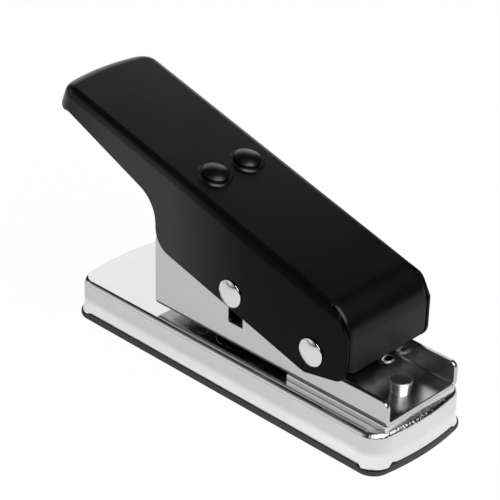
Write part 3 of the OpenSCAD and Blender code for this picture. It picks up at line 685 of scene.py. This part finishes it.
AT_LEVER = Matrix.Translation((PIVOT_X, 0, PIVOT_Z)) @ Matrix.Rotation(TILT, 4, "Y")
FLAP_TOP = Vector((FLAP_X, RISE))
FLAP_DIR = Vector((math.sin(TILT), -math.cos(TILT)))
FLAP_TURN = math.pi / 2 - TILT
BEND_RUN = FLAP_BEND * math.tan(FLAP_TURN / 2)
BEND_U = FLAP_X - BEND_RUN
SLIT_TURN = math.asin((SLIT_U - BEND_U) / FLAP_BEND)
CUT_LOW = FLAP_TOP + FLAP_DIR * CUT_DROP
BOW_U, TAIL_Y = TAIL_BOW - TAIL - FLARE, LEVER_HALF - TAIL_CORNER
TAIL_U = BOW_U - math.sqrt((TAIL_BOW - TAIL_CORNER) ** 2 - TAIL_Y ** 2)
TAIL_TOUCH = math.asin(TAIL_Y / (TAIL_BOW - TAIL_CORNER))
FLAT_HALF = LEVER_HALF - EDGE_R


def lever_low():
    """Lower edge of a skirt from its cut front corner round the toe, belly, heel and neck to the tail."""
    toe = FLAP_TOP + FLAP_DIR * (FLAP_L + TOE_DROP)
    tail_v = RISE - TAIL_H
    corners = [(*CUT_LOW, 0), (*toe, TOE_R), (BELLY_U, -SKIRT, BELLY_R), (HEEL_U, -SKIRT, HEEL_R),
               (NECK_U, RISE - NECK_DROP, NECK_R), (TAIL_STEP_U - TAIL, tail_v + TAIL_STEP, TAIL_STEP_R),
               (TAIL_LIP_U - TAIL, tail_v, TAIL_LIP_R), (-TAIL - TAIL_PAST, tail_v, 0)]
    points = []
    for i, (u, v, r) in enumerate(corners):
        if r:
            points += corner_arc(corners[i - 1][:2], (u, v), corners[i + 1][:2], r, 8)
        else:
            points.append((u, v))
    return points


def rivet_holes(shape, v):
    """Both holes of the leaf spring's rivets, at a height in the lever's frame."""
    rings = [ring(RIVET_U, y, RIVET_HOLE_R) for y in (-RIVET_Y, RIVET_Y)]
    return [shape.loop([(u, y, v) for u, y in points]) for points in rings]


class LeverSkin(Shape):
    """The lever's outer face in its own frame: tail, long edges, skirts, flap and top, rim to rim."""

    def __init__(self):
        super().__init__()
        self.low = lever_low()
        split = math.asin((FLAP_HALF - FLAT_HALF) / EDGE_R)
        ear = math.asin((FLAP_HALF + FLAP_SLIT - FLAT_HALF) / EDGE_R)
        self.above = [split * i / 4 for i in range(5)]
        self.below = [ear + (math.pi / 2 - ear) * i / 7 for i in range(8)]
        self.turns = self.above + self.below

    def low_at(self, u):
        """Height of the lower edge behind the heel."""
        for (u0, v0), (u1, v1) in zip(self.low, self.low[1:]):
            if u1 <= u <= u0 and u0 > u1 and u < TAIL_FROM:
                return v0 + (v1 - v0) * (u0 - u) / (u0 - u1)
        return self.low[-1][1]

    def on_edge(self, u, t, side):
        return u, side * (FLAT_HALF + EDGE_R * math.sin(t)), RISE - EDGE_R * (1 - math.cos(t))

    def on_cut(self, v):
        """Where the slanting cut of a skirt's front corner lies at a height."""
        top_u, top_v = FLAP_X - CUT_BACK, RISE - SHEET / 2
        return top_u + (top_v - v) / (top_v - CUT_LOW.y) * (CUT_LOW.x - top_u)

    def on_flap(self, turn, run, y, wide=1.0):
        """A point of the flap after a turn of its bend, in which the rounded edge fades, and a run."""
        past = max(0.0, abs(y) - FLAT_HALF)
        drop = (EDGE_R - math.sqrt(EDGE_R ** 2 - past ** 2)) * (1 - EDGE_FADE * (turn / FLAP_TURN) ** 2)
        r = FLAP_BEND - drop
        u, v = BEND_U + r * math.sin(turn), RISE - FLAP_BEND + r * math.cos(turn)
        return u + FLAP_DIR.x * run, y * wide, v + FLAP_DIR.y * run

    def tail(self):
        """Columns from the near long edge round the bowed end to the far one, each from the top down."""
        stations = []
        for i in range(19):
            t = i / 18
            a = -math.pi / 2 - (math.pi / 2 - TAIL_TOUCH) * t
            stations.append((TAIL_U, -TAIL_Y, TAIL_CORNER, a, ease(t)))
        for i in range(1, 16):
            stations.append((BOW_U, 0.0, TAIL_BOW, -math.pi + TAIL_TOUCH - 2 * TAIL_TOUCH * i / 16, 1.0))
        stations += [(u, -y, r, -a, w) for u, y, r, a, w in reversed(stations[:19])]
        columns = []
        for u, y, r, a, w in stations:
            n = Vector((math.cos(a), math.sin(a)))
            foot = Vector((u, y)) + n * r
            edge = EDGE_R + (TAIL_EDGE - EDGE_R) * w
            rows = [(edge * (1 - math.sin(t)), RISE - edge * (1 - math.cos(t))) for t in self.turns]
            base = self.low_at(foot.x)
            rows += [(0.0, RISE - edge + (base - RISE + edge) * k / 6) for k in range(1, 7)]
            column = []
            for inset, v in rows:
                q = foot - n * (inset + FLARE * w * (1 - (RISE - v) / TAIL_H))
                column.append((q.x, q.y, v))
            columns.append(self.loop(column))
        self.loft(columns, closed=False)
        return columns

    def long_edge(self, side):
        """A rounded long edge and its ear beside the flap; gives its rims on the top and on the skirt."""
        runs = [TAIL_U + (BEND_U - TAIL_U) * i / 16 for i in range(17)]
        strip = [self.loop([self.on_edge(u, t, side) for t in self.turns]) for u in runs]
        self.loft(strip, closed=False)
        joint = self.on_flap(SLIT_TURN, 0.0, side * FLAP_HALF)
        start = self.loop([joint] + [self.on_edge(SLIT_U, t, side) for t in self.below])
        self.bridge(strip[-1][len(self.above) - 1:], start, closed=False)
        ear = [start[1:]]
        for k in range(1, 5):
            row = [self.on_edge(0.0, t, side) for t in self.below]
            ear.append(self.loop([(SLIT_U + (self.on_cut(v) - SLIT_U) * k / 4, y, v) for _, y, v in row]))
        self.loft(ear, closed=False)
        return [row[0] for row in strip], [row[-1] for row in strip + ear]

    def skirt(self, side, rim, column):
        """A flat side wall below a long edge, with the holes of both pins."""
        def on_wall(points):
            return self.loop([(u, side * LEVER_HALF, v) for u, v in points])

        outline = on_wall([p for p in self.low if p[0] > TAIL_U + SKIRT_STOP])
        holes = [on_wall(ring(0, 0, PIVOT_HOLE_R)), on_wall(ring(DRIVE_U, DRIVE_V, DRIVE_HOLE_R))]
        self.cap([rim + outline + column[:len(self.turns) - 1:-1]] + holes, from_side)

    def flap(self):
        """Rows from the bend's start to the rounded lower corners; the first row meets the top."""
        half = [FLAT_HALF + EDGE_R * math.sin(t) for t in self.above]
        ys = [-y for y in reversed(half)] + [FLAT_HALF * (-1 + 2 * i / 10) for i in range(1, 10)] + half
        straight = FLAP_L - BEND_RUN
        places = [(0.0, 0.0, 1.0), (SLIT_TURN, 0.0, 1.0)]
        places += [(SLIT_TURN + (FLAP_TURN - SLIT_TURN) * i / 14, 0.0, 1.0) for i in range(1, 15)]
        places += [(FLAP_TURN, (straight - FLAP_CORNER) * i / 4, 1.0) for i in range(1, 5)]
        for i in range(1, 9):
            run, rest = quarter(i, 8)
            places.append((FLAP_TURN, straight - FLAP_CORNER * rest, 1 - FLAP_CORNER * run / FLAP_HALF))
        rows = [self.loop([self.on_flap(turn, run, y, wide) for y in ys]) for turn, run, wide in places]
        self.loft(rows, closed=False)
        return rows[0][len(self.above):-len(self.above)]

    def top(self, rim):
        self.cap([rim] + rivet_holes(self, RISE), from_above)


def make_lever():
    s = LeverSkin()
    columns = s.tail()
    near_top, near_wall = s.long_edge(-1)
    far_top, far_wall = s.long_edge(1)
    s.skirt(-1, near_wall, columns[0])
    s.skirt(1, far_wall, columns[-1])
    front = s.flap()
    s.top(near_top[::-1] + [column[0] for column in columns[1:-1]] + far_top + front[::-1])
    return s.move(AT_LEVER)


# Pins, stud and rivets, each turned from a profile of (radius, height)

def dome(r, low, high, power=1.0, n=12):
    """The crown of a head, from the axis to just short of its rim."""
    return [(r * i / n, low + high * math.cos(math.pi / 2 * i / n) ** power) for i in range(n)]


def headed_pin(half, shank):
    """A pin along Z with a domed head at each end."""
    r = PIN_HEAD_R
    side = dome(r, half + PIN_RIM_H, PIN_HEAD_H - PIN_RIM_H, power=0.9)
    side += [(r - 0.05, half + 0.40), (r, half + 0.30), (r, half + 0.10), (r - 0.10, half)]
    side += [(shank, half), (shank, half - 0.6)]
    s = Shape()
    s.lathe(side + [(r, -z) for r, z in reversed(side)], n=64)
    return s


def stack_shank(r):
    """A shank from the channel's floor down through tray and die, and its closed end."""
    low, wide, narrow = DIE_Z - CLOSED_H, r + CLOSED_OUT, r + CLOSED_IN
    return [(r, FLOOR_Z), (r, DIE_Z), (wide, DIE_Z), (wide, DIE_Z - 0.2), (narrow + 0.12, low + 0.1),
            (narrow, low), (0, low)]


def make_stud():
    """A stud with a dished top and a waist; heights count from the channel's floor."""
    top = [(0, 4.12), (1.2, 4.14), (2.4, 4.17), (2.9, 4.22), (3.15, 4.3), (3.36, 4.26), (3.46, 4.14),
           (3.5, 4.0)]
    waist = [(3.46, 3.7), (3.38, 3.2), (3.28, 2.6), (3.19, 2.0), (3.12, 1.4), (3.07, 0.8), (3.03, 0.4),
             (3.02, 0.15), (3.0, 0.0)]
    s = Shape()
    s.lathe([(r, FLOOR_Z + z) for r, z in top + waist] + stack_shank(STUD_SHANK_R), n=72)
    return s.move(Matrix.Translation((STUD_X, 0, 0)))


def make_low_rivets():
    r = LOW_HEAD_R
    head = dome(r, 0.3, 1.0) + [(r - 0.03, 0.36), (r, 0.25), (r, 0.08), (r - 0.08, 0.0)]
    both = Shape()
    for y in (-LOW_Y, LOW_Y):
        s = Shape()
        s.lathe([(r, FLOOR_Z + z) for r, z in head] + stack_shank(LOW_SHANK_R), n=56)
        both.add(s.move(Matrix.Translation((LOW_X, y, 0))))
    return both


ACROSS = Matrix.Rotation(math.pi / 2, 4, "X")
AT_PIVOT = Matrix.Translation((PIVOT_X, 0, PIVOT_Z)) @ ACROSS
AT_DRIVE = Matrix.Translation(AT_LEVER @ Vector((DRIVE_U, 0, DRIVE_V))) @ ACROSS

eased_copy("channel_frame", "channel_bent", CHROME, "base_frame", CHANNEL_BREAK)
eased_copy("spacer_plate", "spacer_sheared", CHROME_TRAY, "base_frame", SPACER_BREAK)
piece("stud_turned", make_stud(), CHROME_STUD, "base_frame", ["front_stud"], TURNED_SHARP)
piece("rivets_low", make_low_rivets(), CHROME_PIN, "base_frame", ["low_rivets"], TURNED_SHARP)
hinge_pin = headed_pin(LEVER_HALF + PIVOT_GAP, PIVOT_R).move(AT_PIVOT)
piece("hinge_pin", hinge_pin, CHROME_PIN, "base_frame", ["pivot_pin"], TURNED_SHARP)
driving_pin = headed_pin(LEVER_HALF, DRIVE_R).move(AT_DRIVE)
piece("driving_pin", driving_pin, CHROME_PIN, "lever", ["drive_pin"], TURNED_SHARP)

lever = skin("lever_pressing", make_lever(), BLACK, SHEET_SHARP)
thicken(lever, SHEET, LEVER_BREAK)
dress(lever, "lever", ["lever_shell"])


# Leaf spring: a bent strip held under the lever, whose foot rests on the channel's floor

def leaf_path():
    """The strip's bends as arcs, with points at most a step apart along it."""
    run = []
    for before, (u, v, r), after in zip(LEAF_PATH, LEAF_PATH[1:], LEAF_PATH[2:]):
        run += corner_arc(before[:2], (u, v), after[:2], r, 10)
    run.append(LEAF_PATH[-1][:2])
    path = [Vector(run[0])]
    for point in run[1:]:
        start = path[-1]
        gap = Vector(point) - start
        steps = max(1, math.ceil(gap.length / LEAF_STEP))
        path += [start + gap * (i + 1) / steps for i in range(steps)]
    return path


def make_leaf():
    s = Shape()
    half = LEAF_W / 2
    rows = [s.loop([(u, y, v) for y in (-half, 0.0, half)]) for u, v in leaf_path()]
    s.loft(rows, closed=False)
    u, v, _ = LEAF_PATH[0]
    short, narrow = u - LEAF_CHAMFER, half - LEAF_CHAMFER
    rim = s.loop([(short, -half, v), (u, -narrow, v), (u, narrow, v), (short, half, v)])
    s.cap([rim + rows[0][::-1]] + rivet_holes(s, v), from_above)
    return s.move(AT_LEVER)


leaf = skin("leaf_strip", make_leaf(), SPRING, SHEET_SHARP, join_flat=False)
thicken(leaf, LEAF_T, LEAF_BREAK, side=0.0)
flat_faces(leaf)
apply_modifiers(leaf)
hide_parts("leaf_spring")
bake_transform(leaf)


# Floor, light and camera, in metres

FLOOR_HALF, FLOOR_DROP, PAPER = 3.0, 0.0002, (0.88, 0.88, 0.88)
WHITE_SHARES = [("Is Camera Ray", 0.98), ("Is Glossy Ray", 0.5), ("Is Transmission Ray", 0.5)]
SKY_HEIGHT = [(0.0, 0.04), (0.012, 0.05), (0.035, 0.85), (0.48, 1.0), (0.62, 0.6), (0.74, 0.18),
              (0.88, 0.05)]
SKY_LEFT, SKY_NEAR, SKY_DIM = [(0.15, 0.0), (0.5, 1.0)], [(0.0, 0.0), (0.25, 1.0)], 0.02
CAMERA_AT, CAMERA_AZ, CAMERA_EL, CAMERA_ROLL = (0.348841, -0.376079, 0.334641), 43.363, 29.740, 1.363
SENSOR_MM, FOCAL_PX, PHOTO_PX = 36.0, 1956.18, 500.0


def make_floor():
    """White paper that is part lit and part white by itself to the eye and to what mirrors it."""
    mesh = bpy.data.meshes.new("floor")
    h = FLOOR_HALF
    mesh.from_pydata([(-h, -h, 0), (h, -h, 0), (h, h, 0), (-h, h, 0)], [], [(0, 1, 2, 3)])
    obj = placed("floor", mesh)
    obj.location.z = -FLOOR_DROP
    material = bpy.data.materials.new("floor_paper")
    n = Nodes(material)
    paper = n.add("ShaderNodeBsdfDiffuse")
    paper.inputs["Color"].default_value = (*PAPER, 1)
    white = n.add("ShaderNodeEmission")
    white.inputs["Strength"].default_value = 1.0
    rays = n.add("ShaderNodeLightPath")
    share = 0.0
    for ray, part in WHITE_SHARES:
        share = n.math("ADD", n.math("MULTIPLY", rays.outputs[ray], part), share)
    mix = n.add("ShaderNodeMixShader")
    n.link(share, mix.inputs["Fac"])
    n.link(paper.outputs["BSDF"], mix.inputs[1])
    n.link(white.outputs["Emission"], mix.inputs[2])
    n.link(mix.outputs["Shader"], n.surface)
    mesh.materials.append(material)


make_floor()


def area(name, place, aim, size, power):
    """A rectangular lamp: place, aim and size in metres, power in watts."""
    lamp = bpy.data.lights.new(name, "AREA")
    lamp.shape = "RECTANGLE"
    lamp.size, lamp.size_y = size
    lamp.energy = power
    obj = placed(name, lamp)
    obj.location = place
    obj.rotation_euler = (Vector(aim) - Vector(place)).to_track_quat("-Z", "Y").to_euler()


area("key", place=(0.48, -0.06, 0.64), aim=(0.0, 0.0, 0.03), size=(0.76, 0.56), power=5.8)
area("fill", place=(0.43, -0.45, 0.36), aim=(0.0, 0.0, 0.03), size=(0.36, 0.36), power=0.55)
area("panel", place=(-0.36, 0.33, 0.21), aim=(0.0, 0.0, 0.05), size=(0.48, 0.42), power=0.67)


def make_world():
    """A sky that is bright low on the left and near side and dim elsewhere."""
    scene.world = bpy.data.worlds.new("studio")
    n = Nodes(scene.world, "ShaderNodeOutputWorld")
    back = n.add("ShaderNodeBackground")
    n.link(back.outputs["Background"], n.surface)
    x, y, z = n.axes(n.place("Generated"))
    level = n.ramp(z, SKY_HEIGHT)
    for axis, stops in ((x, SKY_LEFT), (y, SKY_NEAR)):
        level = n.math("MULTIPLY", level, n.ramp(n.math("MULTIPLY", axis, -1.0), stops))
    n.link(n.math("ADD", level, SKY_DIM), back.inputs["Strength"])


make_world()


def make_camera():
    """The camera fitted to the photo; its focal length is given in the photo's pixels."""
    az, el, roll = [math.radians(a) for a in (CAMERA_AZ, CAMERA_EL, CAMERA_ROLL)]
    back = Vector((math.sin(az) * math.cos(el), -math.cos(az) * math.cos(el), math.sin(el)))
    right = Vector((math.cos(az), math.sin(az), 0))
    up = back.cross(right)
    x = math.cos(roll) * right + math.sin(roll) * up
    y = -math.sin(roll) * right + math.cos(roll) * up
    camera = bpy.data.cameras.new("camera")
    camera.sensor_width = SENSOR_MM
    camera.lens = SENSOR_MM * FOCAL_PX / PHOTO_PX
    camera.clip_start = 0.01
    scene.camera = placed("camera", camera)
    scene.camera.matrix_world = Matrix.Translation(CAMERA_AT) @ Matrix((x, y, back)).transposed().to_4x4()


make_camera()
